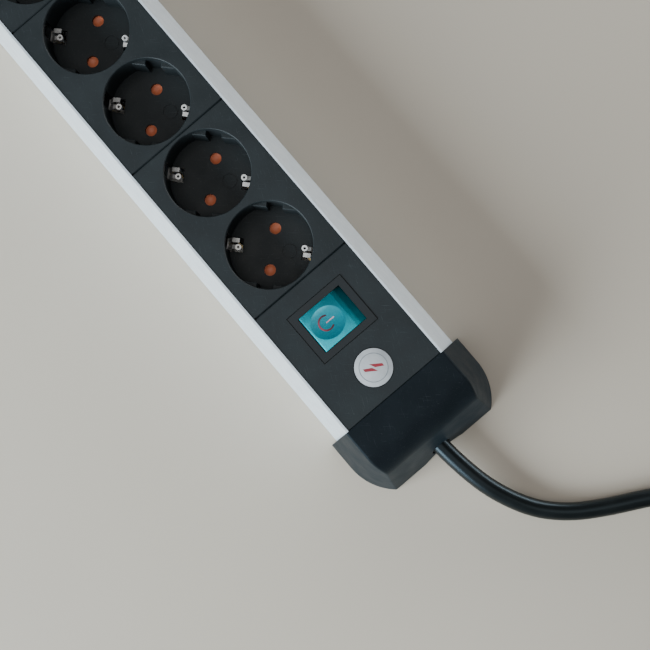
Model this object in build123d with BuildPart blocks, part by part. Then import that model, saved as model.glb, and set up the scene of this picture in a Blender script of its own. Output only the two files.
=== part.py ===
"""Six-way power strip with earthed round sockets, an illuminated rocker switch and a mains lead.

Frame: +X runs along the strip towards the lead, +Z is up, and the origin is on the table under the
middle of the housing. All sizes are in millimetres.
"""

import os
from math import atan2, cos, pi, radians, sin, sqrt, tan

from build123d import *

os.makedirs("parts", exist_ok=True)

# ---------------------------------------------------------------- driving dimensions
socket_pitch = 42.0
sockets_per_module = 2
module_count = 3
switch_length = 63.5
cap_length = 35.2
height = 45.0  # top of the end caps
cover_top = 44.2  # top of the black insert
rail_top = 44.4
insert_half = 26.0
rail_half = 35.5
rail_top_half = 27.2
rail_wall = 1.0
base_thickness = 1.8
cap_half = 38.5
cap_wall = 2.5
cap_draft = 13.6  # degrees, lean of the cap's side facets

recess_radius = 19.45
recess_depth = 17.5
pin_spacing = 19.0
pin_hole_radius = 2.7
pin_line_angle = -47.5  # degrees from +X, the line through a socket's two pin holes
earth_line_angle = 42.5

cord_radius = 4.2

# ---------------------------------------------------------------- derived places
module_length = socket_pitch * sockets_per_module
insert_length = module_length * module_count + switch_length
mouth_x = insert_length / 2  # where the insert ends and a cap begins
first_module_x = -mouth_x + module_length / 2
module_x = [first_module_x + module_length * i for i in range(module_count)]
socket_x = [x + side * socket_pitch / 2 for x in module_x for side in (-1, 1)]
switch_cover_x = mouth_x - switch_length / 2
switch_x = mouth_x - switch_length + 21.8
badge_x = mouth_x - 14.0

plate_thickness = 2.2
floor_top = cover_top - recess_depth
floor_thickness = 1.8
floor_bottom = floor_top - floor_thickness
cup_radius = recess_radius + 1.2
skirt_bottom = 22.0
skirt_wall = 1.6
module_gap = 0.1


def save(part, label):
    part.label = label
    export_step(part, f"parts/{label}.step")


def polar(radius, angle):
    return radius * cos(radians(angle)), radius * sin(radians(angle))


# ---------------------------------------------------------------- aluminium profile
ledge_top = skirt_bottom
ledge_thickness = 1.5
ledge_reach = 24.9
catch_bottom = 29.8
catch_thickness = 1.5
catch_reach = 26.9
rib_inner = 26.6
rib_thickness = 1.4
rib_height = 2.4
cap_screw_inset = 4.2  # from the mouth to the screws that hold a cap
cap_screw_y = 18.0
screw_shank = 1.45
screw_hole = 1.6
screw_head = 2.8

rail_lean = (rail_half - rail_top_half) / rail_top


def rail_inner(z):
    return rail_half - rail_wall - rail_lean * z


with BuildPart() as profile:
    with BuildSketch(Plane.YZ) as section:
        with BuildLine():
            Polyline(
                (0, 0),
                (rail_half, 0),
                (rail_top_half, rail_top),
                (rail_inner(rail_top), rail_top),
                (rail_inner(catch_bottom + catch_thickness), catch_bottom + catch_thickness),
                (catch_reach, catch_bottom + catch_thickness),
                (catch_reach, catch_bottom),
                (rail_inner(catch_bottom), catch_bottom),
                (rail_inner(ledge_top), ledge_top),
                (ledge_reach, ledge_top),
                (ledge_reach, ledge_top - ledge_thickness),
                (rail_inner(ledge_top - ledge_thickness), ledge_top - ledge_thickness),
                (rail_inner(base_thickness), base_thickness),
                (rib_inner + rib_thickness, base_thickness),
                (rib_inner + rib_thickness, base_thickness + rib_height),
                (rib_inner, base_thickness + rib_height),
                (rib_inner, base_thickness),
                (0, base_thickness),
                close=True,
            )
        make_face()
        mirror(about=Plane.YZ)
    extrude(amount=mouth_x, both=True)
    with Locations(Plane.XY.rotated((180, 0, 0))):
        with GridLocations(2 * (mouth_x - cap_screw_inset), 2 * cap_screw_y, 2, 2):
            CounterSinkHole(radius=screw_hole, counter_sink_radius=screw_head, depth=base_thickness)
save(profile.part, "aluminium_profile")

# ---------------------------------------------------------------- end caps
cap_shoulder = 14.0  # straight part of the cap before its sides curve in
cap_side_radius = 28.0
nose_slope = 75.0  # degrees from the table
nose_radius = 14.0
mouth_bevel = 0.35
crease_radius = 1.2
tongue_length = 8.0
tongue_half = 24.0
tongue_height = 2.0
clamp_x = 166.0
clamp_length = 8.0
clamp_half = 13.0
clamp_screw_y = 9.5
cord_exit_z = 9.0
cord_hole_radius = 5.0
scoop_radius = 54.0
scoop_depth = 1.2
keyhole_y = 26.0
keyhole_x = 168.0
keyhole_radius = 4.0
keyhole_slot_radius = 2.1
keyhole_slot_length = 7.0


def cap_block(inset):
    """The cap's outer form, or its hollow when inset by the wall."""
    half = cap_half - inset
    length = cap_length - inset
    side_radius = cap_side_radius - inset
    base = inset
    top = height - inset
    reach = length - cap_shoulder
    end_half = half - side_radius + sqrt(side_radius**2 - reach**2)
    mid_angle = radians(90) - 0.5 * atan2(reach, end_half - half + side_radius)
    run = (top - base) / tan(radians(nose_slope))
    with BuildPart() as block:
        with BuildSketch(Plane.XY.offset(base)):
            with BuildLine():
                Line((-cap_length, 0), (length, 0))
                Line((length, 0), (length, end_half))
                ThreePointArc(
                    (length, end_half),
                    (
                        cap_shoulder + side_radius * cos(mid_angle),
                        half - side_radius + side_radius * sin(mid_angle),
                    ),
                    (cap_shoulder, half),
                )
                Line((cap_shoulder, half), (-cap_length, half))
                Line((-cap_length, half), (-cap_length, 0))
            make_face()
            mirror(about=Plane.XZ)
        extrude(amount=top - base, taper=cap_draft)
        with BuildSketch(Plane.XZ.offset(-half)) as side:
            with BuildLine():
                Polyline((0, base), (length, base), (length - run, top), (0, top), close=True)
            make_face()
            fillet(side.vertices().group_by(Axis.Y)[-1].sort_by(Axis.X)[-1], nose_radius)
        extrude(amount=2 * half, mode=Mode.INTERSECT)
    return block


def cap_creases(block):
    """The long edges between the cap's top band and its two side facets."""
    sides = [e for e in block.edges() if abs(e.center().Y) > 20 and e.center().Z > 6]
    return [e for e in sides if e.center().X > 0.5 and abs(e.center().Y) < 32]


outer_cap = cap_block(0)
inner_cap = cap_block(cap_wall)


def end_cap(with_cord, keyhole_side):
    """A hollow cap with its mouth at x = 0, its nose towards +X and a keyhole in its floor."""
    local_clamp = clamp_x - mouth_x
    with BuildPart() as cap:
        add(outer_cap.part)
        top_edges = cap.edges().filter_by(Axis.Y).group_by(Axis.Z)[-1]
        chamfer(top_edges.sort_by(Axis.X)[0], mouth_bevel)
        fillet(cap_creases(cap), crease_radius)
        add(inner_cap.part, mode=Mode.SUBTRACT)
        with BuildSketch(Plane.XY.offset(base_thickness)):
            with Locations((-tongue_length / 2 + 0.5, 0)):
                Rectangle(tongue_length + 1, 2 * tongue_half)
        extrude(amount=tongue_height)
        with BuildSketch(Plane.XY):
            with Locations((-cap_screw_inset, cap_screw_y), (-cap_screw_inset, -cap_screw_y)):
                Circle(screw_shank + 0.05)
        extrude(amount=base_thickness + tongue_height, mode=Mode.SUBTRACT)
        with BuildSketch(Plane.XY):
            with Locations((keyhole_x - mouth_x, keyhole_side * keyhole_y)):
                Circle(keyhole_radius)
                with Locations((keyhole_slot_length / 2, 0)):
                    SlotCenterToCenter(keyhole_slot_length, 2 * keyhole_slot_radius)
        extrude(amount=cap_wall, mode=Mode.SUBTRACT)
        if with_cord:
            with BuildSketch(Plane.XY.offset(cap_wall)):
                with Locations((local_clamp, 0)):
                    Rectangle(clamp_length, 2 * clamp_half)
            extrude(amount=cord_exit_z - cap_wall - 0.4)
            with BuildSketch(Plane.YZ):
                with Locations((0, cord_exit_z)):
                    Circle(cord_radius)
            extrude(amount=local_clamp + clamp_length / 2 + 1, mode=Mode.SUBTRACT)
            with BuildSketch(Plane.XY.offset(cap_wall + 1)):
                with Locations((local_clamp, clamp_screw_y), (local_clamp, -clamp_screw_y)):
                    Circle(screw_shank + 0.05)
            extrude(amount=cord_exit_z, mode=Mode.SUBTRACT)
            with BuildSketch(Plane.YZ.offset(local_clamp + clamp_length / 2 + 1)):
                with Locations((0, cord_exit_z)):
                    Circle(cord_hole_radius)
            extrude(amount=cap_length, mode=Mode.SUBTRACT)
            with BuildSketch(Plane.XY):
                with Locations((cap_length + scoop_radius - scoop_depth, 0)):
                    Circle(scoop_radius)
            extrude(amount=height / 2, mode=Mode.SUBTRACT)
    return cap


cord_cap = end_cap(with_cord=True, keyhole_side=1)
save(cord_cap.part.moved(Location((mouth_x, 0, 0))), "cord_end_cap")
plain_cap = end_cap(with_cord=False, keyhole_side=-1)
save(plain_cap.part.moved(Location((-mouth_x, 0, 0), (0, 0, 180))), "far_end_cap")


def cap_screws(side):
    """Countersunk screws from below, through the profile into a cap's tongue."""
    with BuildPart() as screws:
        for y in (-cap_screw_y, cap_screw_y):
            with BuildSketch(Plane.XZ.offset(-y)):
                x = side * (mouth_x - cap_screw_inset)
                with BuildLine():
                    Polyline(
                        (x, 0.2),
                        (x + screw_head - 0.4, 0.2),
                        (x + screw_shank, 1.4),
                        (x + screw_shank, base_thickness + tongue_height - 0.3),
                        (x, base_thickness + tongue_height - 0.3),
                        close=True,
                    )
                make_face()
            revolve(axis=Axis((x, y, 0), (0, 0, 1)))
    return screws


save(cap_screws(1).part, "cord_cap_screws")
save(cap_screws(-1).part, "far_cap_screws")

# ---------------------------------------------------------------- module covers
tongue_z = 27.6
tongue_depth = 1.9
tongue_out = 28.3
rim_chamfer = 0.3
edge_chamfer = 0.45
guide_chord = 16.8
guide_top_gap = 4.0
guide_notch = 7.0
guide_bevel = 0.3
slot_width = 6.4
slot_inner = 13.4
slot_outer = 24.0
slot_top = 42.0
mark_offset = 7.9
mark_radius = 3.5
post_radius = 2.0
post_bottom = 16.6
stop_radius = 1.2
stop_angle = pin_line_angle - 34.0
shutter_top = floor_bottom - 0.3
shutter_bottom = 21.4
notch_size = (0.7, 0.9)


def cover_shell(center, length):
    """Plate, long skirts and catches that every module cover shares."""
    with BuildPart() as shell:
        with BuildSketch(Plane.XY.offset(cover_top - plate_thickness)):
            with Locations((center, 0)):
                Rectangle(length, 2 * insert_half)
        extrude(amount=plate_thickness)
        chamfer(shell.edges().filter_by(Axis.Y).group_by(Axis.Z)[-1], edge_chamfer)
        skirt_y = insert_half - skirt_wall / 2
        with BuildSketch(Plane.XY.offset(skirt_bottom)):
            with Locations((center, skirt_y), (center, -skirt_y)):
                Rectangle(length, skirt_wall)
        extrude(amount=cover_top - plate_thickness - skirt_bottom)
        with BuildSketch(Plane.XY.offset(tongue_z)):
            with Locations((center, 0)):
                Rectangle(length - 4, 2 * tongue_out)
                Rectangle(length, 2 * insert_half - skirt_wall, mode=Mode.SUBTRACT)
        extrude(amount=tongue_depth)
        with BuildSketch(Plane.XY.offset(cover_top - plate_thickness)):
            with Locations((center, 0)):
                with GridLocations(length, 2 * insert_half - notch_size[1], 2, 2):
                    Rectangle(*notch_size)
        extrude(amount=plate_thickness, mode=Mode.SUBTRACT)
    return shell


def socket_cover(center):
    """A double socket cover: two round recesses with pin holes, guides and earth clip slots."""
    xs = [center - socket_pitch / 2, center + socket_pitch / 2]
    with BuildPart() as cover:
        add(cover_shell(center, module_length - 2 * module_gap).part)
        with BuildSketch(Plane.XY.offset(floor_bottom)):
            with Locations(*[(x, 0) for x in xs]):
                Circle(cup_radius)
            with Locations((center, 0)):
                Rectangle(skirt_wall, 2 * insert_half - skirt_wall)
        extrude(amount=cover_top - plate_thickness - floor_bottom)
        with BuildSketch(Plane.XY.offset(floor_top)):
            with Locations(*[(x, 0) for x in xs]):
                Circle(recess_radius)
        extrude(amount=recess_depth, mode=Mode.SUBTRACT)
        rims = cover.edges().filter_by(GeomType.CIRCLE).group_by(Axis.Z)[-1]
        chamfer(rims, rim_chamfer)
        for x in xs:
            with BuildSketch(Plane.XY.offset(floor_top)):
                with Locations((x, 0)):
                    Circle(recess_radius + 0.2)
                    Rectangle(2 * guide_chord, 60, rotation=pin_line_angle, mode=Mode.SUBTRACT)
                    Rectangle(60, guide_notch, rotation=pin_line_angle, mode=Mode.SUBTRACT)
            extrude(amount=recess_depth - guide_top_gap)
            guide_top = cover_top - guide_top_gap
            ridges = cover.edges().filter_by(GeomType.LINE).filter_by_position(
                Axis.Z, guide_top - 0.01, guide_top + 0.01
            )
            chamfer(ridges.filter_by_position(Axis.X, x - recess_radius, x + recess_radius), guide_bevel)
            with BuildSketch(Plane.XY.offset(skirt_bottom)):
                with Locations((x, 0)):
                    Rectangle(2 * slot_outer, slot_width, rotation=earth_line_angle)
                    Rectangle(2 * slot_inner, 2 * slot_width, rotation=earth_line_angle, mode=Mode.SUBTRACT)
            extrude(amount=slot_top - skirt_bottom, mode=Mode.SUBTRACT)
            with BuildSketch(Plane.XY.offset(post_bottom)):
                with Locations((x, 0)):
                    Circle(post_radius)
            extrude(amount=floor_bottom - post_bottom)
            stop_x, stop_y = polar(pin_spacing / 2, stop_angle)
            with BuildSketch(Plane.XY.offset(shutter_bottom)):
                with Locations((x + stop_x, stop_y)):
                    Circle(stop_radius)
            extrude(amount=floor_bottom - shutter_bottom)
            pins = [polar(pin_spacing / 2, pin_line_angle + turn) for turn in (0, 180)]
            with BuildSketch(Plane.XY.offset(floor_bottom)):
                with Locations(*[(x + px, py) for px, py in pins]):
                    Circle(pin_hole_radius)
            extrude(amount=floor_thickness, mode=Mode.SUBTRACT)
            mark = polar(mark_offset, earth_line_angle)
            with BuildSketch(Plane.XY.offset(floor_top - 0.3)):
                with Locations((x + mark[0], mark[1])):
                    Circle(mark_radius)
                    Circle(mark_radius - 0.5, mode=Mode.SUBTRACT)
            extrude(amount=0.3, mode=Mode.SUBTRACT)
    return cover


for number, x in enumerate(module_x, start=1):
    save(socket_cover(x).part, f"socket_cover_{number}")

# ---------------------------------------------------------------- pin-hole shutters
hub_radius = 4.4
lobe_radius = 4.0
arm_width = 5.4
bore_running = 0.06
dish_radius = 5.0
dish_depth = 0.6


def shutter(x):
    """The turning shield that closes both pin holes until a plug turns it aside."""
    lobes = [polar(pin_spacing / 2, pin_line_angle + turn) for turn in (0, 180)]
    with BuildPart() as shield:
        with BuildSketch(Plane.XY.offset(shutter_bottom)):
            with Locations((x, 0)):
                Circle(hub_radius)
                Rectangle(pin_spacing, arm_width, rotation=pin_line_angle)
            with Locations(*[(x + lx, ly) for lx, ly in lobes]):
                Circle(lobe_radius)
            with Locations((x, 0)):
                Circle(post_radius + bore_running, mode=Mode.SUBTRACT)
        extrude(amount=shutter_top - shutter_bottom)
        with Locations(*[(x + lx, ly, shutter_top + dish_radius - dish_depth) for lx, ly in lobes]):
            Sphere(dish_radius, mode=Mode.SUBTRACT)
    return shield


for number, x in enumerate(socket_x, start=1):
    save(shutter(x).part, f"shutter_{number}")

washer_bottom = 17.0
washer_thickness = 0.5
washer_radius = 3.6
with BuildPart() as washers:
    with BuildSketch(Plane.XY.offset(washer_bottom)):
        with Locations(*[(x, 0) for x in socket_x]):
            Circle(washer_radius)
        with Locations(*[(x, 0) for x in socket_x]):
            Circle(post_radius, mode=Mode.SUBTRACT)
    extrude(amount=washer_thickness)
save(washers.part, "shutter_retaining_washers")

spring_radius = 2.9
spring_wire = 0.3
spring_pitch = 0.85
spring_height = 2.8
spring_bottom = washer_bottom + washer_thickness + spring_wire + 0.1
with BuildPart() as one_spring:
    with BuildLine() as spring_line:
        Helix(pitch=spring_pitch, height=spring_height, radius=spring_radius)
    with BuildSketch(Plane(origin=spring_line.line @ 0, z_dir=spring_line.line % 0)):
        Circle(spring_wire)
    sweep(is_frenet=True)
springs = Compound(
    children=[one_spring.part.solid().moved(Location((x, 0, spring_bottom))) for x in socket_x]
)
save(springs, "shutter_return_springs")

# ---------------------------------------------------------------- contacts
bar_bottom = 6.2
bar_top = 11.2
leaf_top = 20.0
leaf_thickness = 0.8
leaf_offset = 3.0  # from a pin's axis to the middle of a contact leaf
leaf_width = 5.0
bar_end_x = 99.0
pin_dx, pin_dy = [abs(v) for v in polar(pin_spacing / 2, pin_line_angle)]


def busbar(side):
    """A bar with a two-leaf fork under each pin hole; side is -1 for live and +1 for neutral."""
    pin_y = side * pin_dy
    pins = [x - side * pin_dx for x in socket_x]
    outer_y = pin_y + side * leaf_offset
    inner_y = pin_y - side * leaf_offset
    start_x = pins[0] - leaf_width / 2
    with BuildPart() as bar:
        with BuildSketch(Plane.XY.offset(bar_bottom)):
            with Locations(((start_x + bar_end_x) / 2, outer_y)):
                Rectangle(bar_end_x - start_x, leaf_thickness)
        extrude(amount=bar_top - bar_bottom)
        with BuildSketch(Plane.XY.offset(bar_bottom)):
            with Locations(*[(x, pin_y) for x in pins]):
                Rectangle(leaf_width, 2 * leaf_offset + leaf_thickness)
        extrude(amount=leaf_thickness)
        with BuildSketch(Plane.XY.offset(bar_bottom)):
            with Locations(*[(x, y) for x in pins for y in (outer_y, inner_y)]):
                Rectangle(leaf_width, leaf_thickness)
        extrude(amount=leaf_top - bar_bottom)
    return bar


save(busbar(-1).part, "live_busbar")
save(busbar(1).part, "neutral_busbar")

earth_bottom = 4.0
earth_thickness = 0.8
earth_width = 4.8
clip_radius = 20.3
clip_shoulder = 27.0  # height where a clip splits into its two fingers
bar_finger = [(17.6, 32.0), (14.5, 32.4)]  # distance from the socket's axis, height
eye_finger = [(17.4, 30.8), (15.6, 31.4)]
finger_width = 1.9
finger_offset = 1.5
eye_place = 14.8
eye_radii = (1.35, 0.6)
eye_bottom = 30.4
eye_depth = 2.2

with BuildPart() as earth:
    with BuildSketch(Plane.XY.offset(earth_bottom)):
        with Locations(((socket_x[0] + bar_end_x) / 2, 0)):
            Rectangle(bar_end_x - socket_x[0], earth_width)
        with Locations(*[(x, 0) for x in socket_x]):
            Rectangle(2 * clip_radius + earth_thickness, earth_width, rotation=earth_line_angle)
    extrude(amount=earth_thickness)
    for x in socket_x:
        for turn in (0, 180):
            outward = polar(1, earth_line_angle + turn)
            across = polar(1, earth_line_angle + turn + 90)
            arm = Plane(origin=(x, 0, 0), x_dir=(*outward, 0), z_dir=(-across[0], -across[1], 0))
            with BuildSketch(arm):
                with BuildLine():
                    Line((clip_radius, earth_bottom), (clip_radius, clip_shoulder))
                trace(line_width=earth_thickness)
            extrude(amount=earth_width / 2, both=True)
            for side, bends in ((-1, eye_finger), (1, bar_finger)):
                with BuildSketch(arm.offset(side * finger_offset)):
                    with BuildLine():
                        Polyline((clip_radius, clip_shoulder - 1), *bends)
                    trace(line_width=earth_thickness)
                extrude(amount=finger_width / 2, both=True)
            eye_x = x + eye_place * outward[0] + finger_offset * across[0]
            eye_y = eye_place * outward[1] + finger_offset * across[1]
            with BuildSketch(Plane.XY.offset(eye_bottom)):
                with Locations((eye_x, eye_y)):
                    Circle(eye_radii[0])
            extrude(amount=eye_depth)
            with BuildSketch(Plane.XY.offset(eye_bottom)):
                with Locations((eye_x, eye_y)):
                    Circle(eye_radii[1])
            extrude(amount=eye_depth, mode=Mode.SUBTRACT)
save(earth.part, "earth_bar_with_clips")

carrier_length = 66.0
carrier_thickness = 2.0
carrier_half = 26.0
carrier_top = base_thickness + carrier_thickness
rib_width = 3.0
rib_offsets = (0.0, socket_pitch / 2, -31.4)  # along the module, clear of the earth arms
bar_rib_y = 8.0
bar_rib_depth = 6.4
fence_y = 11.6
fence_thickness = 1.6


def contact_carrier(center):
    """The insulating tray that holds the three bars apart under a double socket."""
    with BuildPart() as carrier:
        with BuildSketch(Plane.XY.offset(base_thickness)):
            with Locations((center, 0)):
                Rectangle(carrier_length, 2 * carrier_half)
        extrude(amount=carrier_thickness)
        rib_places = [(center + side * dx, side) for side in (-1, 1) for dx in rib_offsets]
        with BuildSketch(Plane.XY.offset(carrier_top)):
            with Locations(*[(x, side * bar_rib_y) for x, side in rib_places]):
                Rectangle(rib_width, bar_rib_depth)
        extrude(amount=bar_bottom - carrier_top)
        with BuildSketch(Plane.XY.offset(carrier_top)):
            with Locations(*[(x, side * fence_y) for x, side in rib_places]):
                Rectangle(rib_width, fence_thickness)
        extrude(amount=bar_top - carrier_top - 1)
    return carrier


for number, x in enumerate(module_x, start=1):
    save(contact_carrier(x).part, f"contact_carrier_{number}")

# ---------------------------------------------------------------- switch module
frame_flange = (25.2, 30.0)
flange_gap = 0.35
frame_body = (22.8, 28.0)
frame_top = 44.5
flange_depth = 1.3
opening = (19.0, 23.3)
cavity = (19.0, 24.8)
lip_thickness = 0.8
frame_bottom = 20.0
frame_floor = 2.0
badge_radius = 8.45
badge_recess = 8.85
badge_depth = 1.1
badge_dome = 0.8

with BuildPart() as switch_cover:
    add(cover_shell(switch_cover_x + module_gap / 2, switch_length - module_gap).part)
    with BuildSketch(Plane.XY.offset(frame_top - flange_depth)):
        with Locations((switch_x, 0)):
            Rectangle(frame_flange[0] + 2 * flange_gap, frame_flange[1] + 2 * flange_gap)
    extrude(amount=flange_depth, mode=Mode.SUBTRACT)
    with BuildSketch(Plane.XY.offset(cover_top - plate_thickness)):
        with Locations((switch_x, 0)):
            Rectangle(frame_body[0] + 0.2, frame_body[1] + 0.2)
    extrude(amount=plate_thickness, mode=Mode.SUBTRACT)
    with BuildSketch(Plane.XY.offset(cover_top - badge_depth)):
        with Locations((badge_x, 0)):
            Circle(badge_recess)
    extrude(amount=badge_depth, mode=Mode.SUBTRACT)
save(switch_cover.part, "switch_cover")

with BuildPart() as badge:
    with BuildSketch(Plane.XY.offset(cover_top - badge_depth)):
        with Locations((badge_x, 0)):
            Circle(badge_radius)
    extrude(amount=badge_depth + badge_dome)
    dome_radius = (badge_radius**2 + badge_dome**2) / (2 * badge_dome)
    with Locations((badge_x, 0, cover_top + badge_dome - dome_radius)):
        Sphere(dome_radius, mode=Mode.INTERSECT)
save(badge.part, "badge_disc")

rocker_pivot_z = 40.4
rocker_end_radius = 11.8
rocker_half = 9.3
pivot_pin_radius = 1.5
pivot_pin_end = 10.9
rocker_bottom = 36.0
rocker_skin = 1.9
rocker_face_z = 45.4
ridge = (6.5, 45.3)  # where the rocker's long face meets its steep one
rocker_steep_end_z = 42.5
plunger_tilt = 8.0  # degrees
plunger_x = 4.6
plunger_radius = 1.5
plunger_tip = 9.6  # below the pivot
guide_radius = 2.6
lever_z = 29.0
lever_tilt = 6.0  # degrees, contacts closed
lever_half = 8.0
lever_width = 5.0
lever_thickness = 0.9
boss_radius = 1.2
rivet_radius = 1.6
rivet_height = 1.1
rivet_y = -6.2
lamp_y = 10.0
lamp_z = 33.4
lamp_radius = 1.6
lamp_half = 5.5
lamp_lead_x = 4.5
lamp_lead_radius = 0.35

with BuildPart() as frame:
    with BuildSketch(Plane.XY.offset(frame_top - flange_depth)):
        with Locations((switch_x, 0)):
            Rectangle(*frame_flange)
    extrude(amount=flange_depth)
    with BuildSketch(Plane.XY.offset(frame_bottom)):
        with Locations((switch_x, 0)):
            Rectangle(*frame_body)
    extrude(amount=frame_top - flange_depth - frame_bottom)
    with BuildSketch(Plane.XY.offset(frame_bottom + frame_floor)):
        with Locations((switch_x, 0)):
            Rectangle(*cavity)
    extrude(amount=frame_top - lip_thickness - frame_bottom - frame_floor, mode=Mode.SUBTRACT)
    with BuildSketch(Plane.XY.offset(frame_top - lip_thickness)):
        with Locations((switch_x, 0)):
            Rectangle(*opening)
    extrude(amount=lip_thickness, mode=Mode.SUBTRACT)
    with BuildSketch(Plane.YZ.offset(switch_x)):
        with Locations((0, rocker_pivot_z)):
            Circle(pivot_pin_radius + bore_running)
    extrude(amount=pivot_pin_end + 0.2, both=True, mode=Mode.SUBTRACT)
    with BuildSketch(Plane.XY.offset(frame_bottom)):
        with Locations(*[(switch_x + sx * plunger_x, y) for sx in (-1, 1) for y in (0, rivet_y)]):
            Rectangle(4.4, 1.2)
    extrude(amount=frame_floor, mode=Mode.SUBTRACT)
save(frame.part, "switch_frame")


def rocker_outline(radius, skin):
    """The rocker's section across its axis: two round ends, a long face and a steep face."""
    left_z = rocker_face_z - skin
    left_y = -sqrt(radius**2 - (left_z - rocker_pivot_z) ** 2)
    right_z = rocker_steep_end_z - skin
    right_y = sqrt(radius**2 - (right_z - rocker_pivot_z) ** 2)
    low_y = sqrt(radius**2 - (rocker_bottom - rocker_pivot_z) ** 2)
    Line((-low_y, rocker_bottom), (low_y, rocker_bottom))
    ThreePointArc((low_y, rocker_bottom), (radius, rocker_pivot_z), (right_y, right_z))
    Line((right_y, right_z), (ridge[0] - skin * 0.3, ridge[1] - skin))
    Line((ridge[0] - skin * 0.3, ridge[1] - skin), (left_y, left_z))
    ThreePointArc((left_y, left_z), (-radius, rocker_pivot_z), (-low_y, rocker_bottom))


plunger_planes = [
    Plane(
        origin=(switch_x + side * plunger_x, 0, rocker_pivot_z),
        x_dir=(1, 0, 0),
        z_dir=(0, sin(radians(plunger_tilt)), cos(radians(plunger_tilt))),
    )
    for side in (-1, 1)
]

dish_y = -2.3
finger_dish_depth = 0.85
dish_reach = (7.35, 8.1)  # half its width across and along the rocker
dish_radii = [reach**2 / (2 * finger_dish_depth) for reach in dish_reach]
dish_bottom = rocker_face_z - finger_dish_depth
dish_axis_z = dish_bottom + dish_radii[1]
barrel_half = 12.0
barrel_rise = dish_radii[0] - sqrt(dish_radii[0] ** 2 - barrel_half**2)
with BuildPart() as dish_barrel:
    with BuildSketch(Plane.XZ.offset(-dish_y)):
        with BuildLine():
            ThreePointArc(
                (switch_x - barrel_half, dish_bottom + barrel_rise),
                (switch_x, dish_bottom),
                (switch_x + barrel_half, dish_bottom + barrel_rise),
            )
            Line((switch_x + barrel_half, dish_bottom + barrel_rise), (switch_x + barrel_half, dish_axis_z))
            Line((switch_x + barrel_half, dish_axis_z), (switch_x - barrel_half, dish_axis_z))
            Line((switch_x - barrel_half, dish_axis_z), (switch_x - barrel_half, dish_bottom + barrel_rise))
        make_face()
    revolve(axis=Axis((switch_x, dish_y, dish_axis_z), (1, 0, 0)))

with BuildPart() as rocker:
    with BuildSketch(Plane.YZ.offset(switch_x)):
        with BuildLine():
            rocker_outline(rocker_end_radius, 0)
        make_face()
    extrude(amount=rocker_half, both=True)
    with BuildSketch(Plane.YZ.offset(switch_x)):
        with BuildLine():
            rocker_outline(rocker_end_radius - rocker_skin, rocker_skin)
        make_face()
    extrude(amount=rocker_half - rocker_skin, both=True, mode=Mode.SUBTRACT)
    with BuildSketch(Plane.YZ.offset(switch_x)):
        with Locations((0, rocker_pivot_z)):
            Circle(pivot_pin_radius)
    extrude(amount=pivot_pin_end, both=True)
    with BuildSketch(Plane.YZ.offset(switch_x)):
        with Locations((0, rocker_pivot_z)):
            Circle(pivot_pin_radius + 1)
    extrude(amount=rocker_half - rocker_skin, both=True, mode=Mode.SUBTRACT)
    for plane in plunger_planes:
        with BuildSketch(plane.offset(-4.6)):
            Circle(guide_radius)
        extrude(amount=8.6)
        with BuildSketch(plane.offset(-4.6)):
            Circle(plunger_radius + bore_running)
        extrude(amount=6.6, mode=Mode.SUBTRACT)
    add(dish_barrel.part, mode=Mode.SUBTRACT)
save(rocker.part, "rocker_button")

with BuildPart() as plungers:
    for plane in plunger_planes:
        with BuildSketch(plane.offset(-plunger_tip)):
            Circle(plunger_radius)
        extrude(amount=plunger_tip - 2.0)
    chamfer(plungers.edges().filter_by(GeomType.CIRCLE).sort_by(Axis.Z)[0:2], 0.7)
save(plungers.part, "contact_plungers")

with BuildPart() as lamp:
    with BuildSketch(Plane.YZ.offset(switch_x)):
        with Locations((lamp_y, lamp_z)):
            Circle(lamp_radius)
    extrude(amount=lamp_half, both=True)
    fillet(lamp.edges().filter_by(GeomType.CIRCLE), lamp_radius - 0.4)
    with BuildSketch(Plane.XY.offset(frame_bottom + frame_floor)):
        with Locations((switch_x - lamp_lead_x, lamp_y), (switch_x + lamp_lead_x, lamp_y)):
            Circle(lamp_lead_radius)
    extrude(amount=lamp_z - frame_bottom - frame_floor)
save(lamp.part, "indicator_lamp")


def contact_lever(side):
    """A see-saw contact that closes at its -Y end."""
    tilted = Plane(
        origin=(switch_x + side * plunger_x, 0, lever_z),
        x_dir=(1, 0, 0),
        z_dir=(0, -sin(radians(lever_tilt)), cos(radians(lever_tilt))),
    )
    with BuildPart() as lever:
        with BuildSketch(tilted):
            Rectangle(lever_width, 2 * lever_half)
        extrude(amount=lever_thickness)
        with BuildSketch(Plane.YZ.offset(switch_x + side * plunger_x)):
            with Locations((0, lever_z)):
                Circle(boss_radius)
        extrude(amount=lever_width / 2, both=True)
        with BuildSketch(tilted):
            with Locations((0, rivet_y)):
                Circle(rivet_radius)
        extrude(amount=-rivet_height)
    return lever


save(contact_lever(-1).part, "live_contact_lever")
save(contact_lever(1).part, "neutral_contact_lever")

saddle_height = 0.6
terminal_thickness = 0.8
terminal_bottom = 12.0
rivet_top = lever_z + rivet_y * sin(radians(lever_tilt)) - rivet_height - 0.45


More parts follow.
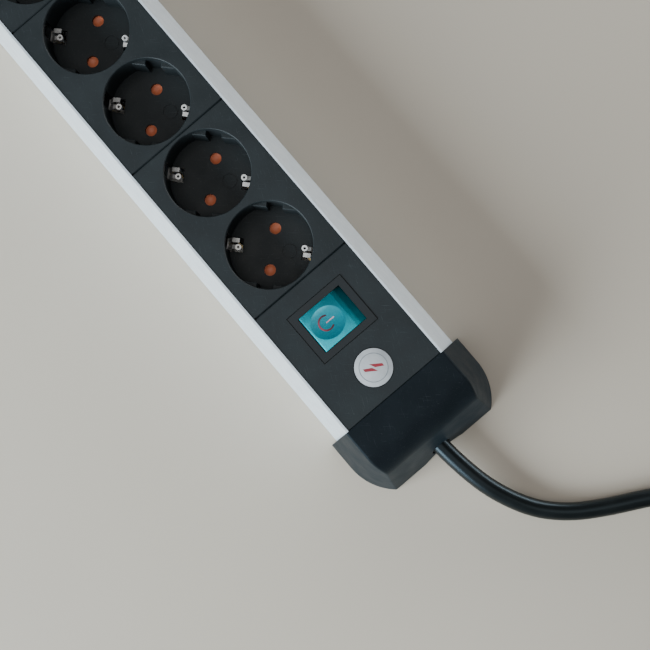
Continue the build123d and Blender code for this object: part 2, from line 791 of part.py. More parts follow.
def switch_terminals():
    """Per pole: a saddle that carries the lever, and a fixed contact under its rivet."""
    with BuildPart() as terminals:
        for side in (-1, 1):
            x = switch_x + side * plunger_x
            with BuildSketch(Plane.XY.offset(frame_bottom + frame_floor)):
                with Locations((x, 0)):
                    Rectangle(6.0, 4.0)
            extrude(amount=lever_z - saddle_height - frame_bottom - frame_floor)
            with BuildSketch(Plane.YZ.offset(x)):
                with Locations((0, lever_z)):
                    Circle(boss_radius + bore_running)
            extrude(amount=4.0, both=True, mode=Mode.SUBTRACT)
            with BuildSketch(Plane.XY.offset(frame_bottom + frame_floor)):
                with Locations((x, rivet_y)):
                    Circle(rivet_radius + 0.2)
            extrude(amount=rivet_top - frame_bottom - frame_floor)
            with BuildSketch(Plane.XY.offset(terminal_bottom)):
                with Locations((x, 0), (x, rivet_y)):
                    Rectangle(4.0, terminal_thickness)
            extrude(amount=frame_bottom + frame_floor - terminal_bottom)
    return terminals


save(switch_terminals().part, "switch_terminals")

# ---------------------------------------------------------------- wires inside the housing
wire_radius = 1.3


def wire(points, radii, label):
    """An insulated wire: straight runs joined by tangent arcs."""
    with BuildPart() as lead:
        with BuildLine() as route:
            FilletPolyline(*points, radius=radii)
        with BuildSketch(Plane(origin=route.line @ 0, z_dir=route.line % 0)):
            Circle(wire_radius)
        sweep()
    save(lead.part, label)


jacket_end_x = 160.0
tab_z = 13.5
left_x = switch_x - plunger_x
right_x = switch_x + plunger_x
feed_z = cord_exit_z
bar_y = pin_dy + leaf_offset
bar_middle_z = (bar_bottom + bar_top) / 2
live_feed = [
    (jacket_end_x, -2.4, feed_z),
    (jacket_end_x - 7, -2.4, feed_z),
    (141.0, -11.0, feed_z + 1),
    (right_x + 9, -12.0, tab_z),
    (right_x + 1.5, -9.4, tab_z),
]
neutral_feed = [
    (jacket_end_x, 2.4, feed_z),
    (jacket_end_x - 7, 2.4, feed_z),
    (141.0, 8.0, feed_z + 1),
    (right_x + 9, 6.5, tab_z),
    (right_x + 1.5, 1.8, tab_z),
]
earth_feed = [
    (jacket_end_x, 0, 6.4),
    (jacket_end_x - 10, 0, 6.4),
    (bar_end_x - 3, 0, earth_bottom + earth_thickness + wire_radius + 0.05),
]
switched_live = [
    (left_x - 1.5, -9.4, tab_z),
    (left_x - 7, -10.4, bar_middle_z + 2),
    (bar_end_x + 0.6, -bar_y, bar_middle_z),
]
switched_neutral = [
    (left_x - 1.5, 1.8, tab_z),
    (left_x - 7, 6.5, bar_middle_z + 2),
    (bar_end_x + 0.6, bar_y, bar_middle_z),
]
wire(live_feed, [6, 12, 5], "live_feed_wire")
wire(neutral_feed, [6, 12, 5], "neutral_feed_wire")
wire(earth_feed, [20], "earth_feed_wire")
wire(switched_live, [4], "switched_live_wire")
wire(switched_neutral, [4], "switched_neutral_wire")

# ---------------------------------------------------------------- cord anchorage
sleeve_start = clamp_x + clamp_length / 2 + 1
sleeve_end = 187.8

with BuildPart() as jacket:
    with BuildSketch(Plane.YZ.offset(jacket_end_x)):
        with Locations((0, cord_exit_z)):
            Circle(cord_radius - 0.02)
    extrude(amount=sleeve_end - jacket_end_x - 0.3)
save(jacket.part, "cord_inside_cap")

with BuildPart() as sleeve:
    with BuildSketch(Plane.XZ):
        with BuildLine():
            Polyline(
                (sleeve_start, cord_exit_z + cord_radius),
                (sleeve_end, cord_exit_z + cord_radius),
                (sleeve_end, cord_exit_z + cord_hole_radius - 0.06),
                (sleeve_end - 4, cord_exit_z + cord_hole_radius - 0.06),
                (sleeve_start + 2, cord_exit_z + cord_radius + 2.2),
                (sleeve_start, cord_exit_z + cord_radius + 2.2),
                close=True,
            )
        make_face()
    revolve(axis=Axis((0, 0, cord_exit_z), (1, 0, 0)))
save(sleeve.part, "cord_bend_sleeve")

clamp_bottom = cord_exit_z + 0.4
clamp_top = cord_exit_z + cord_radius + 3.0
with BuildPart() as clamp:
    with BuildSketch(Plane.XY.offset(clamp_bottom)):
        with Locations((clamp_x, 0)):
            Rectangle(clamp_length, 2 * clamp_half)
    extrude(amount=clamp_top - clamp_bottom)
    with BuildSketch(Plane.YZ.offset(clamp_x)):
        with Locations((0, cord_exit_z)):
            Circle(cord_radius)
    extrude(amount=clamp_length, both=True, mode=Mode.SUBTRACT)
    with Locations((clamp_x, -clamp_screw_y, clamp_top), (clamp_x, clamp_screw_y, clamp_top)):
        Hole(radius=screw_hole)
    fillet(clamp.edges().filter_by(Axis.X).group_by(Axis.Z)[-1], 1.5)
save(clamp.part, "cord_clamp")

with BuildPart() as clamp_screws:
    with BuildSketch(Plane.XY.offset(cap_wall + 1.4)):
        with Locations((clamp_x, -clamp_screw_y), (clamp_x, clamp_screw_y)):
            Circle(screw_shank)
    extrude(amount=clamp_top - cap_wall - 1.4)
    with BuildSketch(Plane.XY.offset(clamp_top)):
        with Locations((clamp_x, -clamp_screw_y), (clamp_x, clamp_screw_y)):
            Circle(screw_head)
    extrude(amount=2.0)
    with BuildSketch(Plane.XY.offset(clamp_top + 1.0)):
        with Locations((clamp_x, -clamp_screw_y), (clamp_x, clamp_screw_y)):
            Rectangle(3.6, 0.8)
            Rectangle(0.8, 3.6)
    extrude(amount=1.0, mode=Mode.SUBTRACT)
save(clamp_screws.part, "cord_clamp_screws")

# ---------------------------------------------------------------- mains lead
coil_center = (392.0, 42.0)
coil_turn_radii = (40.6, 57.4)  # innermost and outermost turns, at the middle of the cord
coil_lift = 1.0  # the tie under the coil lifts it this much
coil_layers = 3
coil_inner = coil_turn_radii[0] - cord_radius
coil_outer = coil_turn_radii[1] + cord_radius
coil_height = coil_layers * 2 * cord_radius
coil_top = coil_lift + coil_height
top_turn_z = coil_top - cord_radius
plug_center = (435.0, 84.1)
plug_radius = 18.5
plug_back_z = coil_top
plug_height = 31.0
outlet_z = plug_back_z + 9.5
relief_length = 24.0
relief_x = plug_center[0] - plug_radius - relief_length

cord_route = [
    (sleeve_end, 0, cord_exit_z),
    (211.0, 1.5, 7.9),
    (236.5, 11.2, 4.5),
    (250.5, 23.6, 4.25),
    (260.3, 38.8, 4.25),
    (270.5, 59.0, 4.25),
    (282.5, 77.5, 4.25),
    (300.0, 91.0, 4.25),
    (322.5, 98.0, 4.3),
    (347.0, 100.0, 4.6),
    (370.5, 99.9, 5.0),
    (392.0, 98.9, 5.2),
]
tail_route = [
    (340.9, 12.4, top_turn_z),
    (334.2, 32.9, top_turn_z + 1.6),
    (337.2, 55.3, top_turn_z + 6.2),
    (350.1, 73.7, top_turn_z + 10.8),
    (370.1, 84.1, outlet_z - 0.4),
    (relief_x, 84.1, outlet_z),
]


def turns_and_radii(points):
    """Each corner's turn in degrees, and the largest arc that its two runs leave room for."""
    vectors = [Vector(*b) - Vector(*a) for a, b in zip(points, points[1:])]
    turns = [a.get_angle(b) for a, b in zip(vectors, vectors[1:])]
    radii = [
        0.45 * min(a.length, b.length) / tan(radians(turn) / 2)
        for a, b, turn in zip(vectors, vectors[1:], turns)
    ]
    return turns, radii


def cord_tube(points, label):
    turns, radii = turns_and_radii(points)
    with BuildPart() as tube:
        with BuildLine() as route:
            FilletPolyline(*points, radius=radii)
        with BuildSketch(Plane(origin=route.line @ 0, z_dir=route.line % 0)):
            Circle(cord_radius)
        sweep()
    length = sum(edge.length for edge in route.edges())
    expected = pi * cord_radius**2 * length
    print(label, "turns", [round(t, 1) for t in turns], "radii", [round(r, 1) for r in radii])
    ratio = tube.part.volume / expected
    print(label, "length", round(length, 1), "volume ratio", round(ratio, 4))
    save(tube.part, label)


cord_tube(cord_route, "mains_cord")
cord_tube(tail_route, "mains_cord_tail")

coil_x, coil_y = coil_center
with BuildPart() as coil:
    with BuildSketch(Plane.XZ.offset(-coil_y)):
        with Locations((coil_x + (coil_inner + coil_outer) / 2, coil_lift + coil_height / 2)):
            RectangleRounded(coil_outer - coil_inner, coil_height, cord_radius - 0.05)
    revolve(axis=Axis((coil_x, coil_y, 0), (0, 0, 1)))
save(coil.part, "mains_cord_coil")

tie_angle = 3.0
tie_width = 12.0
tie_thickness = 1.0
tie_plane = Plane(
    origin=(coil_x, coil_y, 0),
    x_dir=(*polar(1, tie_angle), 0),
    z_dir=(*polar(1, tie_angle - 90), 0),
)
with BuildPart() as tie:
    with BuildSketch(tie_plane):
        with Locations(((coil_inner + coil_outer) / 2, coil_lift + coil_height / 2)):
            RectangleRounded(
                coil_outer - coil_inner + 2 * tie_thickness,
                coil_height + 2 * tie_thickness,
                cord_radius + tie_thickness,
            )
            RectangleRounded(coil_outer - coil_inner, coil_height, cord_radius, mode=Mode.SUBTRACT)
    extrude(amount=tie_width / 2, both=True)
save(tie.part, "cord_tie")

# ---------------------------------------------------------------- angled plug
plug_pin_radius = 2.4
plug_pin_length = 19.0
plug_face_z = plug_back_z + plug_height
plug_x, plug_y = plug_center
relief_root = 6.8
groove_half = 2.6
groove_depth = 3.0

with BuildPart() as plug:
    with BuildSketch(Plane.XY.offset(plug_back_z)):
        with Locations((plug_x, plug_y)):
            Circle(plug_radius)
    extrude(amount=plug_height)
    fillet(plug.edges().filter_by(GeomType.CIRCLE).group_by(Axis.Z)[0], 5.0)
    chamfer(plug.edges().filter_by(GeomType.CIRCLE).group_by(Axis.Z)[-1], 0.8)
    with BuildSketch(Plane.XY.offset(plug_face_z - 16)):
        with Locations((plug_x, plug_y + plug_radius), (plug_x, plug_y - plug_radius)):
            Rectangle(2 * groove_half + 2.4, 2 * groove_depth)
        with Locations((plug_x + plug_radius, plug_y), (plug_x - plug_radius, plug_y)):
            Rectangle(2.4, 5.0)
    extrude(amount=16, mode=Mode.SUBTRACT)
    with BuildSketch(Plane.XY.offset(plug_face_z - 12)):
        with Locations((plug_x - pin_spacing / 2, plug_y), (plug_x + pin_spacing / 2, plug_y)):
            Circle(plug_pin_radius)
    extrude(amount=12, mode=Mode.SUBTRACT)
    with BuildSketch(Plane.YZ.offset(plug_x - plug_radius)):
        with Locations((plug_y, outlet_z)):
            Circle(relief_root + 0.6)
    extrude(amount=plug_radius / 2)
save(plug.part, "plug_body")

with BuildPart() as relief:
    with BuildSketch(Plane.XZ.offset(-plug_y)):
        with BuildLine():
            Polyline(
                (relief_x, outlet_z + cord_radius + 0.02),
                (relief_x, outlet_z + 5.0),
                (relief_x + relief_length, outlet_z + relief_root),
                (relief_x + relief_length, outlet_z),
                (relief_x, outlet_z),
                close=True,
            )
        make_face()
    revolve(axis=Axis((0, plug_y, outlet_z), (1, 0, 0)))
save(relief.part, "plug_strain_relief")

with BuildPart() as plug_pins:
    with BuildSketch(Plane.XY.offset(plug_face_z - 12)):
        with Locations((plug_x - pin_spacing / 2, plug_y), (plug_x + pin_spacing / 2, plug_y)):
            Circle(plug_pin_radius)
    extrude(amount=12 + plug_pin_length)
    fillet(plug_pins.edges().filter_by(GeomType.CIRCLE).group_by(Axis.Z)[-1], 1.6)
save(plug_pins.part, "plug_pins")

with BuildPart() as plug_earth:
    with BuildSketch(Plane.XY.offset(plug_face_z - 15)):
        earth_y = plug_radius - groove_depth + 0.5
        with Locations((plug_x, plug_y + earth_y), (plug_x, plug_y - earth_y)):
            Rectangle(2 * groove_half, 1.0)
    extrude(amount=14)
save(plug_earth.part, "plug_earth_contacts")
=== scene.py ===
"""Looks of the six-way power strip: materials, the mains lead, the plug and the small trim.

Metres throughout, in the part's own frame: +X along the strip towards the lead, +Z up.
"""
from math import cos, pi, radians, sin, sqrt

import bpy
from mathutils import Matrix, Vector


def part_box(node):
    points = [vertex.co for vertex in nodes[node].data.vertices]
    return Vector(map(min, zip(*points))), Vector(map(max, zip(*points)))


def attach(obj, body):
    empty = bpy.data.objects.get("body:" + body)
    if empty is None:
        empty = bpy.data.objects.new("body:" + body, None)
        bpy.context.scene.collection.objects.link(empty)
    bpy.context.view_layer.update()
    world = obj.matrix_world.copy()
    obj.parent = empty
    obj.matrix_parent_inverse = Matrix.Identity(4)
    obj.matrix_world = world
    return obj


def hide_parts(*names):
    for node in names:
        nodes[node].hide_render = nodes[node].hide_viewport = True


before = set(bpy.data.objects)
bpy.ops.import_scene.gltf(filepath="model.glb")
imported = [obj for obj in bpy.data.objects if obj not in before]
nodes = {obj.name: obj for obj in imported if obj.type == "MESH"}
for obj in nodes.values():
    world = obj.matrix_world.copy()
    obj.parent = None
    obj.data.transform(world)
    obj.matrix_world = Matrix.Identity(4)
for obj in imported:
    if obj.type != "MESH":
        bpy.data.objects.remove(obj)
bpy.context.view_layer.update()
MM = 0.001


# ------------------------------------------------------------------ camera
def vec(*xyz):
    """A point given in millimetres."""
    return Vector(xyz) * MM


camera_right = Vector((0.6471, 0.7605, -0.0536)).normalized()
camera_back = Vector((0.0707, 0.0101, 0.9974)).normalized()
camera_up = camera_back.cross(camera_right).normalized()
camera_right = camera_up.cross(camera_back)
camera = bpy.data.objects.new("camera", bpy.data.cameras.new("camera"))
bpy.context.scene.collection.objects.link(camera)
camera_turn = Matrix((camera_right, camera_up, camera_back)).transposed().to_4x4()
camera.matrix_world = Matrix.Translation(vec(155.6, 1.6, 603.2)) @ camera_turn
camera.data.sensor_width = 36.0
camera.data.lens = 71.36
camera.data.clip_start = 0.01
bpy.context.scene.camera = camera


# ------------------------------------------------------------------ node materials
class Material:
    """A Principled material with a few helpers for procedural detail in object coordinates."""

    def __init__(self, name, **sockets):
        self.material = bpy.data.materials.new(name)
        self.material.use_nodes = True
        self.tree = self.material.node_tree
        self.shader = self.tree.nodes["Principled BSDF"]
        self.coords = self.add("ShaderNodeTexCoord")
        for key, value in sockets.items():
            self.set(key.replace("_", " "), value)

    def add(self, kind, **props):
        node = self.tree.nodes.new(kind)
        for key, value in props.items():
            setattr(node, key, value)
        return node

    def link(self, a, b):
        self.tree.links.new(a, b)

    def set(self, name, value):
        socket = self.shader.inputs[name]
        if hasattr(value, "__len__") and len(value) == 3 and socket.type == "RGBA":
            value = (*value, 1.0)
        socket.default_value = value

    def noise(self, size, stretch=(1, 1, 1), detail=2.0, roughness=0.5):
        """Noise from 0 to 1 whose blobs are about that many metres across."""
        mapping = self.add("ShaderNodeMapping")
        mapping.inputs["Scale"].default_value = [1 / (size * s) for s in stretch]
        self.link(self.coords.outputs["Object"], mapping.inputs["Vector"])
        texture = self.add("ShaderNodeTexNoise")
        texture.inputs["Scale"].default_value = 1.0
        texture.inputs["Detail"].default_value = detail
        texture.inputs["Roughness"].default_value = roughness
        self.link(mapping.outputs["Vector"], texture.inputs["Vector"])
        return texture.outputs["Fac"]

    def ramp(self, fac, stops):
        node = self.add("ShaderNodeValToRGB")
        ramp = node.color_ramp
        while len(ramp.elements) < len(stops):
            ramp.elements.new(0.5)
        for element, (at, color) in zip(ramp.elements, stops):
            element.position = at
            element.color = (*color, 1.0)
        self.link(fac, node.inputs["Fac"])
        return node.outputs["Color"]

    def spread(self, fac, low, high, from_low=0.3, from_high=0.7):
        node = self.add("ShaderNodeMapRange")
        node.inputs["From Min"].default_value = from_low
        node.inputs["From Max"].default_value = from_high
        node.inputs["To Min"].default_value = low
        node.inputs["To Max"].default_value = high
        self.link(fac, node.inputs["Value"])
        return node.outputs["Result"]

    def mix(self, fac, a, b):
        node = self.add("ShaderNodeMix", data_type="RGBA")
        for socket, value in ((node.inputs["Factor"], fac), (node.inputs["A"], a), (node.inputs["B"], b)):
            if isinstance(value, bpy.types.NodeSocket):
                self.link(value, socket)
            elif hasattr(value, "__len__"):
                socket.default_value = (*value, 1.0)
            else:
                socket.default_value = value
        return node.outputs["Result"]

    def height(self, axis="Z"):
        """A place's own coordinate along an axis, in metres."""
        node = self.add("ShaderNodeSeparateXYZ")
        self.link(self.coords.outputs["Object"], node.inputs["Vector"])
        return node.outputs[axis]

    def scratches(self, size, angle, amount):
        """Sparse hairline marks: noise drawn out along one direction and cut off near its top."""
        drawn_out = 40
        turn = self.add("ShaderNodeVectorRotate", rotation_type="Z_AXIS")
        turn.inputs["Angle"].default_value = radians(angle)
        self.link(self.coords.outputs["Object"], turn.inputs["Vector"])
        mapping = self.add("ShaderNodeMapping")
        mapping.inputs["Scale"].default_value = (1 / (size * drawn_out), 1 / size, 1 / size)
        self.link(turn.outputs["Vector"], mapping.inputs["Vector"])
        texture = self.add("ShaderNodeTexNoise")
        texture.inputs["Scale"].default_value = 1.0
        texture.inputs["Detail"].default_value = 1.0
        self.link(mapping.outputs["Vector"], texture.inputs["Vector"])
        return self.spread(texture.outputs["Fac"], 0.0, amount, 0.70, 0.78)

    def color(self, socket):
        self.link(socket, self.shader.inputs["Base Color"])

    def rough(self, socket):
        self.link(socket, self.shader.inputs["Roughness"])

    def bump(self, fac, depth, before=None):
        node = self.add("ShaderNodeBump")
        node.inputs["Strength"].default_value = 1.0
        node.inputs["Distance"].default_value = depth
        self.link(fac, node.inputs["Height"])
        if before is not None:
            self.link(before, node.inputs["Normal"])
        self.link(node.outputs["Normal"], self.shader.inputs["Normal"])
        return node.outputs["Normal"]


dust = (0.30, 0.33, 0.35)
hairline_marks = ((0.00016, 24), (0.00020, 131))  # their width and their direction in degrees


def moulded(
    name, dark, light, rough=(0.42, 0.55), grain=0.00035, depth=0.00002, specks=0.0, marks=0.0, **sockets
):
    """Moulded plastic: spark-eroded grain, flow marks, patches of handling shine, dust and hairlines."""
    m = Material(name, **sockets)
    fine = m.noise(grain, detail=3)
    broad = m.noise(0.018, detail=3)
    tone = m.ramp(broad, [(0.3, dark), (0.7, light)])
    if specks:
        motes = m.noise(0.0009, detail=2, roughness=0.7)
        tone = m.mix(m.spread(motes, 0.0, specks, 0.66, 0.76), tone, dust)
    if marks:
        for width, angle in hairline_marks:
            tone = m.mix(m.scratches(width, angle, marks), tone, dust)
    m.color(tone)
    m.rough(m.spread(m.noise(0.009, detail=4), *rough))
    m.bump(fine, depth)
    return m.material


def metal(name, dark, light, rough, grain, stretch, depth=0.000004, metallic=1.0, **sockets):
    """Metal with a drawn or stamped grain and faint tarnish."""
    m = Material(name, Metallic=metallic, **sockets)
    lines = m.noise(grain, stretch, detail=3)
    m.color(m.mix(m.spread(m.noise(0.006, detail=3), 0.0, 1.0), dark, light))
    m.rough(m.spread(lines, *rough))
    m.bump(lines, depth)
    return m.material


anodised = metal(
    "anodised_aluminium", (0.78, 0.86, 0.92), (0.86, 0.93, 0.98), (0.36, 0.50), 0.00016, (160, 1, 1),
    depth=0.000008, metallic=0.45,
)
charcoal = moulded(
    "charcoal_plastic", (0.011, 0.016, 0.018), (0.019, 0.025, 0.027), rough=(0.45, 0.58), grain=0.0006,
    depth=0.00004, specks=0.08, marks=0.10, Specular_IOR_Level=0.35,
)
cap_black = moulded(
    "black_cap_plastic", (0.008, 0.009, 0.010), (0.012, 0.014, 0.016), rough=(0.42, 0.54), grain=0.0006,
    depth=0.00004, specks=0.06, marks=0.10, Specular_IOR_Level=0.10, Specular_Tint=(0.55, 0.82, 1.0),
    Sheen_Weight=0.035, Sheen_Roughness=0.6, Sheen_Tint=(0.35, 0.72, 1.0),
)
frame_black = moulded(
    "switch_frame_plastic", (0.006, 0.010, 0.012), (0.010, 0.015, 0.018), rough=(0.36, 0.46), specks=0.04,
    Specular_IOR_Level=0.4,
)
inner_grey = moulded("grey_inner_plastic", (0.20, 0.21, 0.22), (0.26, 0.27, 0.28))
orange = moulded(
    "orange_shutter_plastic", (0.82, 0.20, 0.085), (0.95, 0.27, 0.12), rough=(0.32, 0.45), depth=0.000006
)
steel = metal("zinc_steel", (0.50, 0.51, 0.53), (0.66, 0.67, 0.69), (0.22, 0.36), 0.0002, (4, 1, 1))
brass = metal("contact_brass", (0.70, 0.52, 0.24), (0.82, 0.64, 0.32), (0.20, 0.34), 0.0002, (8, 1, 1))
nickel = metal(
    "nickel_plated_brass", (0.88, 0.87, 0.84), (0.97, 0.96, 0.94), (0.26, 0.40), 0.0003, (1, 1, 1),
    metallic=0.4,
)
brown_wire = moulded("brown_insulation", (0.13, 0.05, 0.02), (0.2, 0.08, 0.03), rough=(0.3, 0.4))
blue_wire = moulded("blue_insulation", (0.02, 0.08, 0.36), (0.03, 0.12, 0.48), rough=(0.3, 0.4))
earth_wire = moulded("green_yellow_insulation", (0.08, 0.30, 0.03), (0.55, 0.52, 0.03), rough=(0.3, 0.4))
cord_black = moulded(
    "cord_jacket", (0.004, 0.004, 0.003), (0.007, 0.007, 0.006), rough=(0.30, 0.38), grain=0.0012,
    depth=0.000010, Specular_IOR_Level=0.36, Specular_Tint=(0.60, 0.84, 1.0), Coat_Weight=0.05,
    Coat_Roughness=0.2,
)
plug_black = moulded("plug_rubber", (0.008, 0.008, 0.009), (0.013, 0.013, 0.014), specks=0.05)
tie_cloth = moulded(
    "tie_tape", (0.006, 0.006, 0.008), (0.020, 0.020, 0.024), rough=(0.8, 0.95), grain=0.0005, depth=0.00020,
    Sheen_Weight=0.4,
)


dish_y = -2.3  # the middle of the finger dish
dish_reach = (7.35, 8.1)  # half the dish's width across and along the rocker


def teal_plastic():
    """Tinted translucent plastic with painted light: a painted highlight towards the low +X, -Y corner and
    painted shade towards +Y, and a painted lit rim and shaded side in the finger dish.
    """
    cloudiness = 0.25
    m = Material(
        "teal_rocker_plastic", Roughness=0.30, Specular_IOR_Level=0.08, Coat_Weight=0.02, Coat_Roughness=0.1
    )
    m.set("Subsurface Weight", 0.25)
    m.set("Subsurface Radius", (0.1, 1.0, 1.1))
    m.set("Subsurface Scale", 0.003)
    low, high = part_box("rocker_button")
    # painted light: the face is painted brighter towards +X and towards -Y, a painted highlight at that
    # corner and painted shade towards +Y
    across = m.spread(m.height("X"), 0.0, 0.55, low[0], high[0])
    along = m.spread(m.height("Y"), 0.45, 0.0, low[1], high[1])
    painted_light_slope = m.add("ShaderNodeMath", operation="ADD")
    m.link(across, painted_light_slope.inputs[0])
    m.link(along, painted_light_slope.inputs[1])
    cloud = m.add("ShaderNodeMath", operation="MULTIPLY_ADD")
    m.link(m.noise(0.005, detail=2), cloud.inputs[0])
    cloud.inputs[1].default_value = cloudiness
    m.link(painted_light_slope.outputs[0], cloud.inputs[2])
    face = m.ramp(
        cloud.outputs[0], [(0.12, (0.0, 0.045, 0.055)), (0.5, (0.0, 0.18, 0.22)), (1.0, (0.02, 0.52, 0.60))]
    )
    # painted light in the finger dish: a painted highlight on its -X rim and painted shade deepening towards
    # its +X side
    dish = m.add("ShaderNodeMapping")
    dish.inputs["Scale"].default_value = (1 / (dish_reach[0] * MM), 1 / (dish_reach[1] * MM), 0)
    middle = (low[0] + high[0]) / 2
    dish.inputs["Location"].default_value = (-middle / (dish_reach[0] * MM), -dish_y / dish_reach[1], 0)
    m.link(m.coords.outputs["Object"], dish.inputs["Vector"])
    reach = m.add("ShaderNodeVectorMath", operation="LENGTH")
    m.link(dish.outputs["Vector"], reach.inputs[0])
    side = m.add("ShaderNodeSeparateXYZ")
    m.link(dish.outputs["Vector"], side.inputs["Vector"])
    painted_dish_light = m.ramp(
        m.spread(side.outputs["X"], 0.0, 1.0, -1.0, 1.0),
        [
            (0.0, (0.11, 0.56, 0.64)),
            (0.16, (0.03, 0.30, 0.36)),
            (0.6, (0.0, 0.21, 0.26)),
            (1.0, (0.0, 0.13, 0.17)),
        ],
    )
    m.color(m.mix(m.spread(reach.outputs["Value"], 1.0, 0.0, 0.95, 1.0), face, painted_dish_light))
    m.bump(m.noise(0.0006), 0.000003)
    return m.material


teal = teal_plastic()


def badge_foil():
    """Lacquered silver foil under a thin dome."""
    m = Material("silver_badge", Metallic=0.35, Coat_Weight=0.6, Coat_Roughness=0.15)
    m.color(m.ramp(m.noise(0.004, detail=3), [(0.3, (0.52, 0.55, 0.57)), (0.7, (0.62, 0.65, 0.67))]))
    m.rough(m.spread(m.noise(0.0003, detail=2), 0.34, 0.46))
    return m.material


badge_silver = badge_foil()


def lamp_glass():
    """The neon lamp's clear envelope."""
    m = Material("lamp_glass", Roughness=0.05, IOR=1.5)
    m.set("Transmission Weight", 0.9)
    m.color(m.ramp(m.noise(0.002), [(0.3, (0.85, 0.75, 0.68)), (0.7, (0.95, 0.9, 0.85))]))
    return m.material


clear_glass = lamp_glass()


def wear(names, material):
    """Gives CAD nodes a material in place of their plain one."""
    for name in names:
        mesh = nodes[name].data
        mesh.materials.clear()
        mesh.materials.append(material)
        for polygon in mesh.polygons:
            polygon.material_index = 0


covers = [f"socket_cover_{i}" for i in (1, 2, 3)]
wear(["aluminium_profile"], anodised)
wear(covers + ["switch_cover"], charcoal)
wear(["switch_frame"], frame_black)
wear(["cord_end_cap", "far_end_cap"], cap_black)
wear([f"contact_carrier_{i}" for i in (1, 2, 3)] + ["cord_clamp"], inner_grey)
wear([f"shutter_{i}" for i in range(1, 7)], orange)
wear(["shutter_retaining_washers", "shutter_return_springs"], steel)
wear(["cord_clamp_screws", "cord_cap_screws", "far_cap_screws"], steel)
wear(
    ["live_busbar", "neutral_busbar", "switch_terminals", "live_contact_lever", "neutral_contact_lever"]
    + ["contact_plungers", "plug_pins"],
    brass,
)
wear(["earth_bar_with_clips", "plug_earth_contacts"], nickel)
wear(["rocker_button"], teal)
wear(["badge_disc"], badge_silver)
wear(["indicator_lamp"], clear_glass)
wear(["live_feed_wire", "switched_live_wire"], brown_wire)
wear(["neutral_feed_wire", "switched_neutral_wire"], blue_wire)
wear(["earth_feed_wire"], earth_wire)
wear(["cord_inside_cap"], cord_black)
wear(["cord_bend_sleeve", "plug_body"], plug_black)


# ------------------------------------------------------------------ mains lead
def piece(name, data, material, body="housing"):
    """Puts a mesh or curve in the scene in a material, riding on a body."""
    obj = bpy.data.objects.new(name, data)
    bpy.context.scene.collection.objects.link(obj)
    data.materials.append(material)
    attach(obj, body)
    return obj


cord_radius = 4.2
exit_point = (187.8, 0.0, 9.0)
lead_route = [
    exit_point,
    (211.0, 1.5, 7.9),
    (236.5, 11.2, 4.5),
    (250.5, 23.6, 4.25),
    (260.3, 38.8, 4.25),
    (270.5, 59.0, 4.25),
    (282.5, 77.5, 4.25),
    (300.0, 91.0, 4.25),
    (322.5, 98.0, 4.3),
    (347.0, 99.8, 4.6),
    (370.5, 99.9, 5.0),
]
coil_x, coil_y = 392.0, 42.0
outer_radius = 57.4  # the middle of the coil's outermost turns
bottom_z = 5.2
pitch = 2 * cord_radius
shift_turns = 0.35  # how long a change of column takes, in turns
rise_turns = 0.25  # how long a change of layer takes
# when the cord, counted in turns from its first, begins to move a column inwards, outwards, or a layer up
inward_at = (0.7, 1.7, 6.25, 7.25)
outward_at = (3.35, 4.35)
rise_at = (2.5, 5.35, 8.22)
points_per_turn = 16
spline_gain = 0.25 * (3 + cos(2 * pi / points_per_turn))  # how far inside its points the line runs
turns_wound = 8.5


def smooth(t):
    """Eases from 0 to 1 as t goes from 0 to 1, and holds beyond."""
    t = max(0.0, min(1.0, t))
    return t * t * (3 - 2 * t)


def coil_points():
    """The turns, clockwise from the ring's +Y side, three columns wide and three layers high."""
    unevenness = 0.2
    points = []
    steps = int(turns_wound * points_per_turn)
    for k in range(1, steps + 1):
        turns = k / points_per_turn
        inward = sum(smooth((turns - at) / shift_turns) for at in inward_at)
        outward = sum(smooth((turns - at) / shift_turns) for at in outward_at)
        z = bottom_z + pitch * sum(smooth((turns - at) / rise_turns) for at in rise_at)
        wobble = unevenness * sin(2.3 * k) if 4 < k < steps - 8 else 0.0
        r = (outer_radius + pitch * (outward - inward) + wobble) / spline_gain
        angle = pi / 2 - 2 * pi * turns
        points.append((coil_x + r * cos(angle), coil_y + r * sin(angle), z))
    return points


tail_route = [
    (375.9, 2.9, 30.7),
    (361.0, 6.9, 31.2),
    (348.4, 15.6, 31.9),
    (339.8, 28.6, 32.8),
    (336.9, 43.9, 33.7),
    (339.8, 59.3, 34.5),
    (348.4, 72.4, 35.1),
    (361.3, 81.3, 35.5),
    (376.5, 84.1, 35.7),
    (392.5, 84.1, 35.7),
]


def lead():
    """The whole mains lead as one smooth spline."""
    curve = bpy.data.curves.new("mains_lead", "CURVE")
    curve.dimensions = "3D"
    curve.bevel_depth = cord_radius * MM
    curve.bevel_resolution = 8
    curve.resolution_u = 8
    curve.use_fill_caps = True
    spline = curve.splines.new("NURBS")
    route = lead_route + coil_points() + tail_route
    spline.points.add(len(route) - 1)
    for point, place in zip(spline.points, route):
        point.co = (*vec(*place), 1.0)
    spline.order_u = 3
    spline.use_endpoint_u = True
    return piece("mains_lead", curve, cord_black)


def solid(name, vertices, faces, material, body="housing", smooth_faces=True):
    """A piece from points in millimetres and faces."""
    mesh = bpy.data.meshes.new(name)
    mesh.from_pydata([vec(*v) for v in vertices], [], faces)
    mesh.validate()
    for polygon in mesh.polygons:
        polygon.use_smooth = smooth_faces
    mesh.update()
    return piece(name, mesh, material, body)


def grid_faces(rows, columns):
    """Quads over rows of points; each row closes on itself, and the last row joins the first."""
    faces = []
    for i in range(rows):
        this, other = i * columns, (i + 1) % rows * columns
        for j in range(columns):
            beside = (j + 1) % columns
            faces.append((this + j, this + beside, other + beside, other + j))
    return faces


